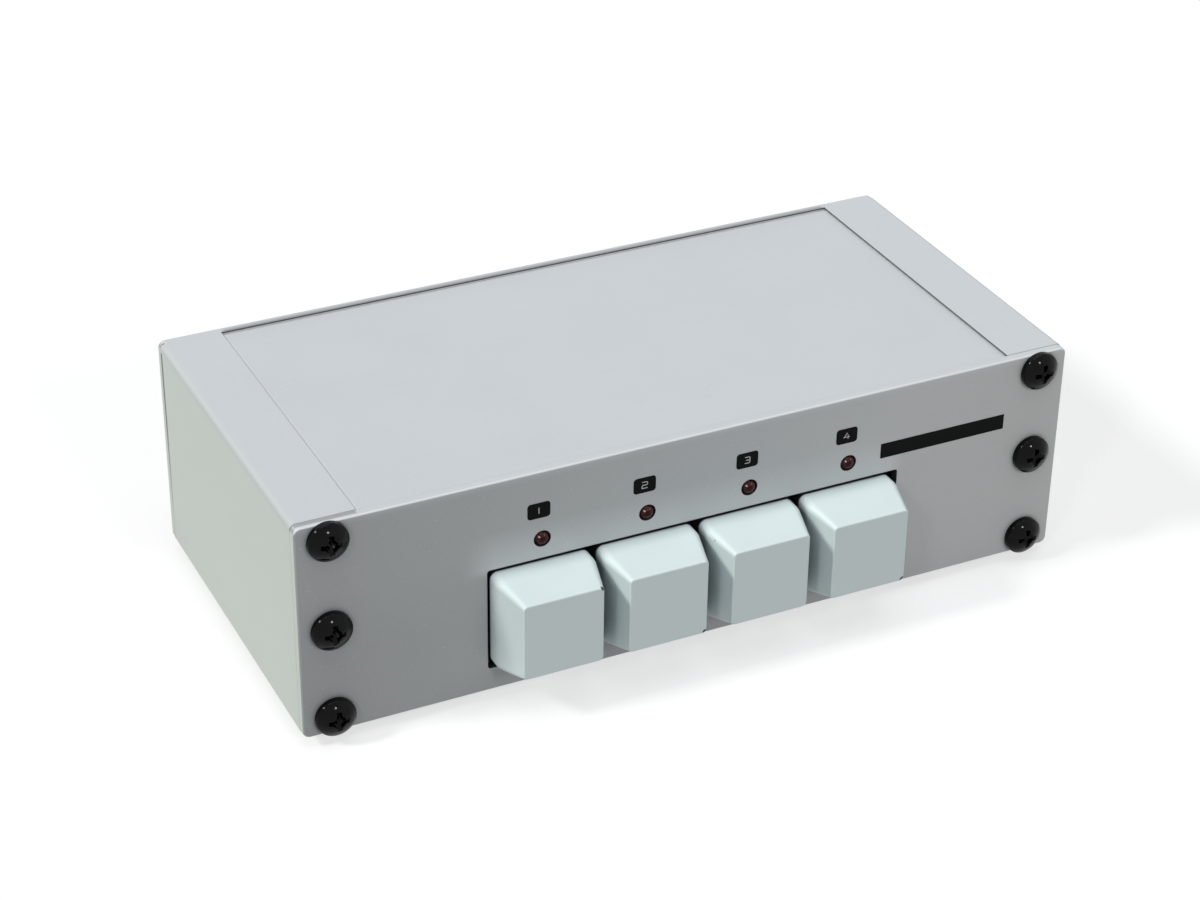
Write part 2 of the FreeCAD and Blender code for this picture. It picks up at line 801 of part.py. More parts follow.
def lamp(x):
    """A small round red lamp: a domed lens, a flange and two leads."""
    tip = -lamp_proud
    rear = tip + lamp_length
    lens = Part.makeSphere(lamp_radius, Vector(x, tip + lamp_radius, lamp_z))
    lens = lens.common(box(
        x - lamp_radius, x + lamp_radius, tip, tip + lamp_radius, lamp_z - lamp_radius, lamp_z + lamp_radius
    ))
    lens = lens.fuse(rod_y(x, lamp_z, lamp_radius, tip + lamp_radius, rear))
    lens = lens.fuse(rod_y(x, lamp_z, lamp_radius + lamp_flange_step, rear - lamp_flange_thickness, rear))
    for side in (-1, 1):
        lead_x = x + side * lead_spacing / 2
        lens = lens.fuse(box(
            lead_x - lead_width / 2, lead_x + lead_width / 2, rear, bank_front + lead_stick_out,
            lamp_z - lead_width / 2, lamp_z + lead_width / 2,
        ))
    return lens.removeSplitter()


def lamp_board():
    """The narrow board behind the lamps, screwed to the two tabs of the frame."""
    half = bank_half_width + frame_sheet + lamp_board_overhang
    hole_radius = lead_width * math.sqrt(0.5) + lead_hole_gap
    board = box(
        key_row_x - half, key_row_x + half, lamp_board_front, bank_front,
        lamp_z - lamp_board_below, lamp_z + lamp_board_above,
    )
    for side in (-1, 1):
        board = board.cut(rod_y(
            tab_screw_x(side), lamp_z, bracket_hole_radius, lamp_board_front, bank_front
        ))
        for x in lamp_places:
            lead_x = x + side * lead_spacing / 2
            board = board.cut(rod_y(lead_x, lamp_z, hole_radius, lamp_board_front, bank_front))
    return board


def lamp_resistors():
    """One flat chip resistor beside each lamp, on the back of the lamp board."""
    return [
        box(
            x + resistor_offset, x + resistor_offset + resistor_length,
            bank_front, bank_front + resistor_thickness,
            lamp_z - resistor_height / 2, lamp_z + resistor_height / 2,
        )
        for x in lamp_places
    ]


def lamp_ribbon():
    """The short ribbon cable: straight back from the lamp board, round a bend, down to the main board."""
    tab_inside = key_row_x + bank_half_width + frame_sheet - tab_width
    left = tab_inside - ribbon_gap - ribbon_width
    bend_y = bank_front + ribbon_reach
    top = lamp_z - lamp_board_below + ribbon_thickness
    outer = ribbon_bend_radius
    inner = ribbon_bend_radius - ribbon_thickness
    centre = Vector(left, bend_y, top - outer)
    slant = math.sqrt(0.5)
    down_y = bend_y + outer
    outline = Part.Wire([
        Part.makeLine(Vector(left, bank_front, top), Vector(left, bend_y, top)),
        Part.Arc(
            Vector(left, bend_y, top), centre + Vector(0, outer * slant, outer * slant),
            Vector(left, down_y, top - outer),
        ).toShape(),
        Part.makeLine(Vector(left, down_y, top - outer), Vector(left, down_y, board_top)),
        Part.makeLine(Vector(left, down_y, board_top), Vector(left, down_y - ribbon_thickness, board_top)),
        Part.makeLine(
            Vector(left, down_y - ribbon_thickness, board_top),
            Vector(left, down_y - ribbon_thickness, top - outer),
        ),
        Part.Arc(
            Vector(left, down_y - ribbon_thickness, top - outer),
            centre + Vector(0, inner * slant, inner * slant), Vector(left, bend_y, top - ribbon_thickness),
        ).toShape(),
        Part.makeLine(
            Vector(left, bend_y, top - ribbon_thickness), Vector(left, bank_front, top - ribbon_thickness)
        ),
        Part.makeLine(Vector(left, bank_front, top - ribbon_thickness), Vector(left, bank_front, top)),
    ])
    return Part.Face(outline).extrude(Vector(ribbon_width, 0, 0))


def standoff_places():
    """The four standoffs: beside the frame's rear end and just in front of the jack blocks."""
    x = board_half_width - standoff_side_inset
    front = bank_front + frame_depth + standoff_clearance
    back = jack_front - board_screw_head_radius - standoff_clearance
    return [(side * x, y) for side in (-1, 1) for y in (front, back)]


def main_board():
    front = bank_front + board_front_gap
    board = box(-board_half_width, board_half_width, front, board_rear, board_bottom, board_top)
    for x, y in standoff_places():
        board = board.cut(rod_z(x, y, board_hole_radius, board_bottom, board_top))
    for side in (-1, 1):
        x = frame_screw_x(side)
        board = board.cut(rod_z(x, frame_screw_y(), bracket_hole_radius, board_bottom, board_top))
    for x, y in pin_places():
        board = board.cut(rod_z(x, y, pin_radius + pin_hole_gap, board_bottom, board_top))
    return board


def standoffs():
    """Hexagonal standoffs, each with a stud pressed into the bottom cover."""
    made = []
    corner_radius = standoff_flats / math.sqrt(3)
    for x, y in standoff_places():
        corners = [
            Vector(
                x + corner_radius * math.cos(math.radians(60 * side)),
                y + corner_radius * math.sin(math.radians(60 * side)), bottom_inside,
            )
            for side in range(7)
        ]
        body = Part.Face(Part.makePolygon(corners)).extrude(Vector(0, 0, standoff_height))
        body = body.fuse(rod_z(x, y, standoff_stud_radius, cover_low, bottom_inside))
        thread = board_screw_radius + thread_gap
        thread_floor = board_top - board_screw_length - thread_gap
        body = body.cut(rod_z(x, y, thread, thread_floor, board_bottom))
        made.append(body.removeSplitter())
    return made


def board_screws():
    screw = pan_head(
        board_screw_head_radius, board_screw_rim_height, board_screw_head_height,
        board_screw_radius, board_screw_length,
    )
    return [aimed(screw, Vector(0, 0, 1), Vector(x, y, board_top)) for x, y in standoff_places()]


def bracket_screws():
    """Two screws up through the main board into the frame's feet, two through the lamp board."""
    made = []
    for side in (-1, 1):
        up = pan_head(
            bracket_screw_head_radius, bracket_screw_rim_height, bracket_screw_head_height,
            bracket_screw_radius, board_thickness + frame_sheet + bracket_screw_overrun,
        )
        made.append(aimed(up, Vector(0, 0, -1), Vector(frame_screw_x(side), frame_screw_y(), board_bottom)))
        back = pan_head(
            bracket_screw_head_radius, bracket_screw_rim_height, bracket_screw_head_height,
            bracket_screw_radius, lamp_board_thickness + frame_sheet + bracket_screw_overrun,
        )
        made.append(aimed(back, Vector(0, -1, 0), Vector(tab_screw_x(side), lamp_board_front, lamp_z)))
    return made


def bottom_cover():
    plate = cover()
    for x, y in standoff_places():
        plate = plate.cut(rod_z(x, y, standoff_stud_radius + stud_gap, cover_low, bottom_inside))
    return plate


def capacitor():
    """The upright filter capacitor between the frame and the inlet, with a bead rolled near its foot."""
    x = -(board_half_width - standoff_side_inset)
    y = (bank_front + frame_depth + jack_front) / 2
    can = rod_z(x, y, capacitor_radius, board_top, board_top + capacitor_height)
    can = can.makeFillet(capacitor_edge_radius, [can.Edges[0]])
    bead = Part.makeTorus(
        capacitor_radius + capacitor_bead_depth / 2, capacitor_bead_depth,
        Vector(x, y, board_top + capacitor_bead_height),
    )
    return can.cut(bead)


def jack_block(x):
    """One moulded block on the main board, whose three snouts come through the rear panel."""
    half = jack_width / 2
    block = box(x - half, x + half, jack_front, rear_inside, board_top, jack_high_z + jack_head_height)
    for z in jack_rows:
        block = block.fuse(rod_y(x, z, snout_radius, rear_inside - snout_root, snout_face))
    for z in jack_rows:
        block = block.cut(rod_y(x, z, barrel_stem_radius + part_gap, barrel_stem_end, snout_face))
    return block.removeSplitter()


def barrel(x, z):
    """A plated socket barrel: the round tube that a plug's shell grips, and its thinner stem."""
    tube = rod_y(x, z, barrel_radius, snout_face, barrel_tip)
    tip = [
        edge for edge in tube.Edges
        if abs(edge.BoundBox.YMin - barrel_tip) < same_place
    ]
    tube = tube.makeChamfer(barrel_tip_chamfer, tip)
    tube = tube.fuse(rod_y(x, z, barrel_stem_radius, barrel_stem_end, snout_face))
    return tube.cut(rod_y(x, z, barrel_bore_radius, barrel_stem_end, barrel_tip)).removeSplitter()


def insulator(x, z):
    """The coloured disc inside a barrel, with a hole for the centre contact."""
    ring = rod_y(x, z, barrel_bore_radius - part_gap, barrel_stem_end, insulator_face)
    return ring.cut(rod_y(x, z, contact_radius + part_gap, contact_back, insulator_face))


def centre_contact(x, z):
    """The plated cup that a plug's pin goes into."""
    cup = rod_y(x, z, contact_radius, contact_back, insulator_face)
    return cup.cut(rod_y(x, z, contact_bore_radius, insulator_face - contact_bore_depth, insulator_face))


def inlet():
    """The low voltage inlet on the main board, its round boss flush with the rear panel."""
    half = inlet_width / 2
    block = box(
        inlet_x - half, inlet_x + half, jack_front, rear_inside, board_top, board_top + inlet_height
    )
    block = block.fuse(rod_y(inlet_x, inlet_z, inlet_boss_radius, rear_inside - snout_root, case_depth))
    return block.cut(rod_y(inlet_x, inlet_z, inlet_bore_radius, inlet_bore_end, case_depth)).removeSplitter()


def inlet_pin():
    tip = case_depth - inlet_pin_recess
    pin = rod_y(inlet_x, inlet_z, inlet_pin_radius, inlet_bore_end, tip)
    front = [edge for edge in pin.Edges if abs(edge.BoundBox.YMin - tip) < same_place]
    return pin.makeChamfer(inlet_pin_chamfer, front)


# The case
right_profile = side_profile()
left_profile = right_profile.mirror(Vector(0, 0, 0), Vector(1, 0, 0))
save("right_side_profile", right_profile)
save("left_side_profile", left_profile)
save("front_panel", front_panel())
save("rear_panel", rear_panel())
save("bottom_cover", bottom_cover())
save("top_cover", cover().mirror(Vector(0, 0, middle_z), Vector(0, 0, 1)))
save("front_panel_screws", front_screws())
save("rear_panel_screws", rear_screws())
for side, side_name in ((-1, "left"), (1, "right")):
    foot_x = side * (half_width - foot_inset_x)
    save("foot_front_" + side_name, foot(foot_x, foot_inset_y))
    save("foot_rear_" + side_name, foot(foot_x, case_depth - foot_inset_y))

# The key bank
for number, x in enumerate(key_places, start=1):
    save("keycap_" + str(number), keycap(x))
    save("plunger_" + str(number), plunger(x))
    save("return_spring_" + str(number), return_spring(x))
    save("switch_body_" + str(number), switch_body(x))
save("switch_frame", switch_frame())
save("latch_bar", latch_bar())
save("latch_spring", latch_spring())
save("switch_pins", switch_pins())
save("bracket_screws", bracket_screws())

# The lamps
for number, x in enumerate(lamp_places, start=1):
    save("indicator_lamp_" + str(number), lamp(x))
save("lamp_board", lamp_board())
save("lamp_resistors", lamp_resistors())
save("lamp_ribbon_cable", lamp_ribbon())

# The main board and what stands on it
save("main_board", main_board())
save("board_standoffs", standoffs())
save("board_screws", board_screws())
save("filter_capacitor", capacitor())
for number, x in enumerate(jack_places, start=1):
    column = "output" if number == jack_columns else "input_" + str(number)
    save(column + "_jack_block", jack_block(x))
    save(column + "_barrels", [barrel(x, z) for z in jack_rows])
for row_name, z in zip(("video", "left_audio", "right_audio"), jack_rows):
    save(row_name + "_insulators", [insulator(x, z) for x in jack_places])
save("centre_contacts", [centre_contact(x, z) for x in jack_places for z in jack_rows])
save("power_inlet", inlet())
save("power_inlet_pin", inlet_pin())
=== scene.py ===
import json
import math

import bmesh
import bpy
from mathutils import Matrix, Vector


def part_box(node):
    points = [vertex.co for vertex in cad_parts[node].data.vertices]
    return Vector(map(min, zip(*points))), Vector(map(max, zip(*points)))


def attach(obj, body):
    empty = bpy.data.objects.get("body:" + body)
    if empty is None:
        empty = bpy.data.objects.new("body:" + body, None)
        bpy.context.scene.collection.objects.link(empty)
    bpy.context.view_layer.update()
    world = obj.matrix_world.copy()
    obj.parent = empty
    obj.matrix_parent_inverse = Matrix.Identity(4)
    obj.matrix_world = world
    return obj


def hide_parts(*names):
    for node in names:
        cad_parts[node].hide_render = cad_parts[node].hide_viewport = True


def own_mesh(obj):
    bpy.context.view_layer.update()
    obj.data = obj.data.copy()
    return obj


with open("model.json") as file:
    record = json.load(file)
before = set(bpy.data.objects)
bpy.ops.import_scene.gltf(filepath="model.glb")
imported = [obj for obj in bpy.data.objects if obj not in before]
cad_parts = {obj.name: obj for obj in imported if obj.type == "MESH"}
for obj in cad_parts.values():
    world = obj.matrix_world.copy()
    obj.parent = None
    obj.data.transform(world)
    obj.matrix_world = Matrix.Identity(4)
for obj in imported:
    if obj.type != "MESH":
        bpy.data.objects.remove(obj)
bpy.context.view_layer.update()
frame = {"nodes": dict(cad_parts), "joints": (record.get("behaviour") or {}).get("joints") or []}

mm = 0.001

# The side profiles. Two aluminium extrusions carry the whole case: their flanges hold the covers and
# their screw ports hold the panels. Both were pressed through a die along Y, then blasted and clear
# anodised, so faint lines run from front to back under a pale satin skin. Dark joints show at both ends.
# Their sides are painted a greener tone than their tops for the light on them, the rounded bend between
# is painted darker as shade, and the inner faces of the lips are painted dark as the shade of the gap
# under them.


def new_finish(name, colour, metallic, roughness):
    """A material with its main values set, its node tree and its shader."""
    finish = bpy.data.materials.new(name)
    finish.use_nodes = True
    shader = finish.node_tree.nodes["Principled BSDF"]
    shader.inputs["Base Color"].default_value = (*colour, 1)
    shader.inputs["Metallic"].default_value = metallic
    shader.inputs["Roughness"].default_value = roughness
    return finish, finish.node_tree, shader


def grain(tree, size, longer=(1, 1, 1), detail=2.0):
    """Noise over the piece, with spots about size across, drawn out along the axes given in longer."""
    place = tree.nodes.new("ShaderNodeTexCoord")
    scale = tree.nodes.new("ShaderNodeMapping")
    scale.inputs["Scale"].default_value = [1 / (size * stretch) for stretch in longer]
    noise = tree.nodes.new("ShaderNodeTexNoise")
    noise.inputs["Scale"].default_value = 1
    noise.inputs["Detail"].default_value = detail
    tree.links.new(place.outputs["Object"], scale.inputs["Vector"])
    tree.links.new(scale.outputs["Vector"], noise.inputs["Vector"])
    return noise.outputs["Fac"]


def spread(tree, value, start, end, low, high):
    """value, as it goes from start to end, turned into low to high."""
    node = tree.nodes.new("ShaderNodeMapRange")
    node.inputs["From Min"].default_value = start
    node.inputs["From Max"].default_value = end
    node.inputs["To Min"].default_value = low
    node.inputs["To Max"].default_value = high
    tree.links.new(value, node.inputs["Value"])
    return node.outputs["Result"]


def times(tree, *values):
    """The product of two or more values."""
    product = values[0]
    for value in values[1:]:
        node = tree.nodes.new("ShaderNodeMath")
        node.operation = "MULTIPLY"
        tree.links.new(product, node.inputs[0])
        tree.links.new(value, node.inputs[1])
        product = node.outputs["Value"]
    return product


def between(tree, share, first, second):
    """The colour that lies between two others, each a colour or another node's output."""
    node = tree.nodes.new("ShaderNodeMix")
    node.data_type = "RGBA"
    tree.links.new(share, node.inputs["Factor"])
    for name, colour in (("A", first), ("B", second)):
        socket = next(s for s in node.inputs if s.name == name and s.type == "RGBA")
        if isinstance(colour, tuple):
            socket.default_value = (*colour, 1)
        else:
            tree.links.new(colour, socket)
    return next(s for s in node.outputs if s.type == "RGBA")


def raised(tree, height, depth, under=None):
    """A surface that stands up by depth where height is one."""
    node = tree.nodes.new("ShaderNodeBump")
    node.inputs["Strength"].default_value = 1
    node.inputs["Distance"].default_value = depth
    tree.links.new(height, node.inputs["Height"])
    if under is not None:
        tree.links.new(under, node.inputs["Normal"])
    return node.outputs["Normal"]


def eased(tree, radius):
    """The normal of a piece whose sharp edges are rounded off by radius."""
    node = tree.nodes.new("ShaderNodeBevel")
    node.samples = 6
    node.inputs["Radius"].default_value = radius
    return node.outputs["Normal"]


dull_metal = (0.30, 0.31, 0.32)
bright_grain_and_highlight = (0.92, 0.93, 0.94)


def satin_aluminium(finish, tree, shader, base, longer):
    """Blasted, anodised aluminium over a base colour: lines, soft clouds, scuffs, bright grains and
    painted glints.
    """
    lines = grain(tree, 0.16 * mm, longer, 2)
    cloud = grain(tree, 24 * mm, (1, 1, 1), 3)
    blast = grain(tree, 0.3 * mm, (1, 1, 1), 2)
    scuffs = grain(tree, 2.2 * mm, (3, 1, 1), 4)
    glints = grain(tree, 0.5 * mm, (1, 1, 1), 1)
    base = between(tree, spread(tree, cloud, 0.3, 0.7, 0.05, 0), base, dull_metal)
    base = between(tree, spread(tree, lines, 0.3, 0.7, 0, 0.035), base, dull_metal)
    base = between(tree, spread(tree, scuffs, 0.68, 0.76, 0, 0.05), base, dull_metal)
    base = between(tree, spread(tree, blast, 0.66, 0.78, 0, 0.30), base, bright_grain_and_highlight)
    # painted glints: sparse bright specks of sparkle put into the colour
    base = between(tree, spread(tree, glints, 0.76, 0.81, 0, 0.35), base, bright_grain_and_highlight)
    tree.links.new(base, shader.inputs["Base Color"])
    tree.links.new(spread(tree, cloud, 0.3, 0.7, 0.60, 0.66), shader.inputs["Roughness"])
    skin = raised(tree, blast, 0.003 * mm, eased(tree, 0.1 * mm))
    tree.links.new(raised(tree, lines, 0.001 * mm, skin), shader.inputs["Normal"])
    return finish


def place_on(tree, axis):
    """Where a point of the piece lies along one axis."""
    place = tree.nodes.new("ShaderNodeTexCoord")
    parts = tree.nodes.new("ShaderNodeSeparateXYZ")
    tree.links.new(place.outputs["Object"], parts.inputs["Vector"])
    return parts.outputs[axis]


def without_sign(tree, value):
    """A value with its minus sign taken off."""
    node = tree.nodes.new("ShaderNodeMath")
    node.operation = "ABSOLUTE"
    tree.links.new(value, node.inputs[0])
    return node.outputs["Value"]


def turned(tree, axis):
    """How squarely a face is turned to one axis, either way along it, from zero to one."""
    normal = tree.nodes.new("ShaderNodeSeparateXYZ")
    tree.links.new(tree.nodes.new("ShaderNodeNewGeometry").outputs["Normal"], normal.inputs["Vector"])
    return without_sign(tree, normal.outputs[axis])


def dress(names, finish):
    """Give CAD pieces their finish."""
    for name in names:
        materials = frame["nodes"][name].data.materials
        materials.clear()
        materials.append(finish)


case_colour = (0.588, 0.610, 0.642)
side_light_colour = (0.608, 0.645, 0.613)
bend_shade_colour = (0.545, 0.568, 0.575)
joint_width = 0.24 * mm
side_joint_width = 0.8 * mm
joint_and_shade_colour = (0.10, 0.105, 0.105)
joint_fade = (9 * mm, 32 * mm)
flange_width = 13 * mm
lip_reach = 10 * mm
profile_low, profile_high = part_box("left_side_profile")
side_ends = profile_high.z - 2 * mm
top_starts = profile_high.z - 1.6 * mm
finish, tree, shader = new_finish("profile_aluminium", case_colour, 0.2, 0.6)
height = place_on(tree, "Z")
depth = place_on(tree, "Y")
on_top = spread(tree, height, side_ends, top_starts, 0, 1)
on_side = spread(tree, height, side_ends, top_starts, 1, 0)
front_joint = spread(tree, depth, profile_low.y + 1.2 * joint_width, profile_low.y + joint_width, 0, 0.6)
rear_joint = spread(
    tree, depth, profile_high.y - 1.2 * side_joint_width, profile_high.y - side_joint_width, 0, 0.9)
rear_joint = times(tree, rear_joint, spread(tree, height, *joint_fade, 0.15, 1))
# painted shade: the rounded bend between side and top is painted darker
bend_shade = spread(tree, times(tree, turned(tree, "X"), turned(tree, "Z")), 0.03, 0.3, 0, 1)
from_side = without_sign(tree, place_on(tree, "X"))
lip_starts = -profile_low.x - lip_reach
lip = spread(tree, from_side, lip_starts + mm, lip_starts, 0, 1)
# painted shade: the lips' inner faces are painted dark as the shade of the gap under them
lip_shade = times(tree, lip, on_top, spread(tree, turned(tree, "X"), 0.5, 0.8, 0, 1))
# painted light: the sides take a greener tone than the tops, for the light that falls on them
base = between(tree, on_side, case_colour, side_light_colour)
base = between(tree, bend_shade, base, bend_shade_colour)
base = between(tree, lip_shade, base, joint_and_shade_colour)
base = between(tree, times(tree, front_joint, on_top), base, joint_and_shade_colour)
base = between(tree, times(tree, rear_joint, on_side), base, joint_and_shade_colour)
profile_skin = satin_aluminium(finish, tree, shader, base, (1, 60, 1))
dress(["left_side_profile", "right_side_profile"], profile_skin)

# The covers. Two flat plates of the same anodised aluminium slide in the grooves of the profiles. They
# were cut from rolled sheet, so their grain runs along X. A strip beside the left flange is painted
# paler to fill the shadow that the flange's lip casts there.

shadow_fill_width = 0.7 * mm
shadow_fill_colour = (0.76, 0.785, 0.82)
finish, tree, shader = new_finish("cover_aluminium", case_colour, 0.2, 0.6)
base = between(tree, grain(tree, 5 * mm), case_colour, tuple(0.99 * part for part in case_colour))
# painted light: a paler strip beside the left flange fills the shadow of its lip
shadow_fill_end = profile_low.x + flange_width + shadow_fill_width
shadow_fill = spread(tree, place_on(tree, "X"), shadow_fill_end + 0.1 * mm, shadow_fill_end, 0, 1)
base = between(tree, shadow_fill, base, shadow_fill_colour)
cover_skin = satin_aluminium(finish, tree, shader, base, (60, 1, 1))
dress(["bottom_cover", "top_cover"], cover_skin)

# The feet. Four moulded rubber feet are stuck to the bottom cover. Their black rubber is matt and a
# little dusty.


def rubber(name):
    """Matt black rubber with fine pores and a little pale dust."""
    finish, tree, shader = new_finish(name, (0.028, 0.028, 0.028), 0, 0.75)
    pores = grain(tree, 0.35 * mm, (1, 1, 1), 3)
    dust = grain(tree, 2.5 * mm, (1, 1, 1), 3)
    dusty = spread(tree, dust, 0.5, 0.75, 0, 0.35)
    base = between(tree, dusty, (0.024, 0.024, 0.024), (0.085, 0.083, 0.08))
    tree.links.new(base, shader.inputs["Base Color"])
    tree.links.new(spread(tree, pores, 0.3, 0.7, 0.65, 0.9), shader.inputs["Roughness"])
    tree.links.new(raised(tree, pores, 0.03 * mm, eased(tree, 0.2 * mm)), shader.inputs["Normal"])
    return finish


foot_names = ["foot_front_left", "foot_front_right", "foot_rear_left", "foot_rear_right"]
dress(foot_names, rubber("foot_rubber"))

# The main board and the lamp board. Both are brown phenolic sheet, pressed from paper, with a faint
# mottle and sawn edges. Brass standoffs with studs carry the main board, and it carries a capacitor.


def edges(tree, radius):
    """One on the sharp edges of a piece and zero on its faces."""
    rounded = eased(tree, radius)
    flat = tree.nodes.new("ShaderNodeNewGeometry").outputs["Normal"]
    dot = tree.nodes.new("ShaderNodeVectorMath")
    dot.operation = "DOT_PRODUCT"
    tree.links.new(rounded, dot.inputs[0])
    tree.links.new(flat, dot.inputs[1])
    return spread(tree, dot.outputs["Value"], 0.98, 0.75, 0, 1)


def phenolic(name):
    """Brown laminate with a mottle along the sheet and paler sawn edges."""
    finish, tree, shader = new_finish(name, (0.30, 0.20, 0.09), 0, 0.45)
    mottle = grain(tree, 1.6 * mm, (2.5, 1, 1), 4)
    base = between(tree, mottle, (0.22, 0.13, 0.05), (0.40, 0.28, 0.13))
    base = between(tree, edges(tree, 0.3 * mm), base, (0.50, 0.38, 0.22))
    tree.links.new(base, shader.inputs["Base Color"])
    tree.links.new(spread(tree, mottle, 0.3, 0.7, 0.35, 0.55), shader.inputs["Roughness"])
    tree.links.new(raised(tree, mottle, 0.01 * mm, eased(tree, 0.1 * mm)), shader.inputs["Normal"])
    return finish


def worked_metal(name, colour, tarnish, roughness, longer, edge_radius):
    """Bare or plated metal with tool marks along one way, patches of tarnish and bright worn edges."""
    finish, tree, shader = new_finish(name, colour, 1, roughness)
    marks = grain(tree, 0.07 * mm, longer, 2)
    patches = grain(tree, 1.8 * mm, (1, 1, 1), 3)
    base = between(tree, spread(tree, patches, 0.45, 0.75, 0, 0.6), colour, tarnish)
    darker = tuple(0.7 * part for part in colour)
    brighter = tuple(min(1.0, 1.2 * part) for part in colour)
    base = between(tree, spread(tree, marks, 0.3, 0.7, 0, 0.12), base, darker)
    base = between(tree, edges(tree, edge_radius), base, brighter)
    tree.links.new(base, shader.inputs["Base Color"])
    tree.links.new(
        spread(tree, patches, 0.3, 0.7, 0.8 * roughness, 1.3 * roughness), shader.inputs["Roughness"])
    tree.links.new(raised(tree, marks, 0.002 * mm, eased(tree, edge_radius)), shader.inputs["Normal"])
    return finish


def lit_by(tree, colour, value, share):
    """A colour made up to share lighter or darker where value is above or below a half."""
    lighter = tuple(min(1.0, part * (1 + share)) for part in colour)
    darker = tuple(part * (1 - share) for part in colour)
    return between(tree, spread(tree, value, 0.25, 0.75, 0, 1), darker, lighter)


def moulded(name, colour, roughness, depth, edge_radius):
    """Moulded plastic with a fine etched skin and slightly rounded, slightly paler edges."""
    finish, tree, shader = new_finish(name, colour, 0, roughness)
    skin = grain(tree, 0.25 * mm, (1, 1, 1), 2)
    flow = grain(tree, 5 * mm, (1, 1, 1), 2)
    base = lit_by(tree, colour, flow, 0.05)
    pale = tuple(0.8 * part + 0.08 for part in colour)
    base = between(tree, spread(tree, edges(tree, edge_radius), 0, 1, 0, 0.5), base, pale)
    tree.links.new(base, shader.inputs["Base Color"])
    tree.links.new(
        spread(tree, skin, 0.3, 0.7, 0.85 * roughness, 1.2 * roughness), shader.inputs["Roughness"])
    tree.links.new(raised(tree, skin, depth, eased(tree, edge_radius)), shader.inputs["Normal"])
    return finish


dress(["main_board", "lamp_board"], phenolic("phenolic_board"))
dress(["board_standoffs"], worked_metal(
    "turned_brass", (0.72, 0.53, 0.24), (0.42, 0.28, 0.12), 0.3, (1, 1, 30), 0.15 * mm))
dress(["board_screws", "bracket_screws"], worked_metal(
    "zinc_screw", (0.70, 0.69, 0.64), (0.48, 0.46, 0.40), 0.35, (1, 1, 1), 0.1 * mm))
dress(["switch_pins"], worked_metal(
    "tinned_pin", (0.72, 0.72, 0.70), (0.50, 0.50, 0.48), 0.3, (1, 1, 8), 0.05 * mm))
dress(["filter_capacitor"], moulded("capacitor_sleeve", (0.03, 0.045, 0.12), 0.3, 0.002 * mm, 0.2 * mm))

# The jack blocks and the inlet. Each black moulded block carries three nickel plated barrels, with a
# coloured insulator and a plated contact inside: yellow for video, white for left and red for right.
# The inlet is a block of the same plastic round a plated pin.

columns = ["input_1", "input_2", "input_3", "input_4", "output"]
block_plastic = moulded("black_moulding", (0.022, 0.022, 0.024), 0.42, 0.006 * mm, 0.2 * mm)
nickel = worked_metal("nickel_plate", (0.74, 0.72, 0.67), (0.60, 0.56, 0.48), 0.2, (30, 1, 30), 0.15 * mm)
dress([column + "_jack_block" for column in columns], block_plastic)
dress([column + "_barrels" for column in columns], nickel)
dress(["centre_contacts"], nickel)
for signal, tint, colour in (
        ("video", "yellow", (0.80, 0.52, 0.02)),
        ("left_audio", "white", (0.80, 0.80, 0.76)),
        ("right_audio", "red", (0.58, 0.02, 0.02))):
    insulator = moulded(tint + "_insulator", colour, 0.35, 0.002 * mm, 0.1 * mm)
    dress([signal + "_insulators"], insulator)
dress(["power_inlet"], block_plastic)
dress(["power_inlet_pin"], nickel)

# The key bank. A frame and a latch bar are folded and punched from zinc plated steel sheet, and natural
# white plungers run through them into black switch bodies. Little of it shows behind the caps.

zinc_sheet = worked_metal(
    "zinc_sheet", (0.42, 0.43, 0.41), (0.30, 0.29, 0.26), 0.38, (40, 1, 1), 0.15 * mm)
dress(["switch_frame", "latch_bar"], zinc_sheet)
switch_plastic = moulded("switch_moulding", (0.03, 0.03, 0.032), 0.5, 0.006 * mm, 0.2 * mm)
plunger_plastic = moulded("natural_moulding", (0.74, 0.72, 0.64), 0.4, 0.003 * mm, 0.2 * mm)
for number in range(1, 5):
    dress(["switch_body_" + str(number)], switch_plastic)
    dress(["plunger_" + str(number)], plunger_plastic)

# The springs. Four return springs stand round the plungers and press the caps out, and a fifth presses
# the latch bar. They are wound from drawn steel wire.

spring_finish = worked_metal(
    "spring_wire", (0.60, 0.60, 0.58), (0.42, 0.40, 0.36), 0.28, (1, 1, 1), 0.05 * mm)


def wound_spring(name):
    """The wire of a spring, a copy of its CAD piece fixed to the case, which takes the piece's place."""
    wire = bpy.data.objects.new(name + "_wire", frame["nodes"][name].data.copy())
    wire.data.materials.clear()
    wire.data.materials.append(spring_finish)
    bpy.context.scene.collection.objects.link(wire)
    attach(wire, "case")
    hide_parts(name)
    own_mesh(wire)


for joint in frame["joints"]:
    for spring in joint["deforming_nodes"]:
        wound_spring(spring["node"])

# The key caps. Hollow caps moulded in black plastic and sprayed with a thick pale gloss coat, which
# rounds their edges. The coat has a faint orange peel, and a few chips at the corners show the black
# below it. The caps are painted darker deep in the gaps between them and black inside the slot, as
# painted shade.

coat_colour = (0.672, 0.762, 0.772)
gap_shade_colour = (0.10, 0.125, 0.135)
base_colour = (0.018, 0.018, 0.02)
panel_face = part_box("front_panel")[0].y
slot_shade_ends = (panel_face - 0.05 * mm, panel_face + 0.3 * mm)
gap_reach = 8 * mm


